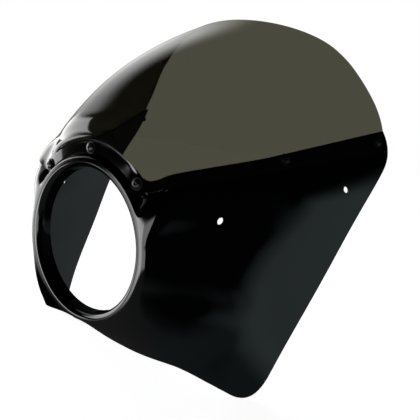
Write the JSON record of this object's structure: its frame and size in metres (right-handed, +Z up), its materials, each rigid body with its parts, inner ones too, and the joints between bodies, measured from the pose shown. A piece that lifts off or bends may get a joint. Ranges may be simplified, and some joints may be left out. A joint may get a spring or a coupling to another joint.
{
  "type": "motorcycle headlight cowl",
  "caption": "Moulded headlight cowl with a round lamp opening and flared side panels, with a smoked windshield screwed over its upper edge.",
  "frame": {"origin": "on the lamp opening's axis, half way along its bore, 12 mm behind the ring's front face", "axes": "-Y is the way the lamp looks, +Z is up, X runs across, and the part is the same on both sides of X = 0"},
  "size_m": [0.4664, 0.3132, 0.4605],
  "materials": {
    "cowl": "gloss black, moulded",
    "windshield": "smoked clear plastic, polished",
    "screw": "black button heads, satin",
    "washer": "black nylon, matte",
    "steel": "zinc plated"
  },
  "bodies": {
    "root": {"cowl": "cowl", "windshield": "windshield", "shield_screws": "screw", "screw_washers": "washer", "nut_washers": "steel", "lock_nuts": "steel"}
  },
  "joints": []
}
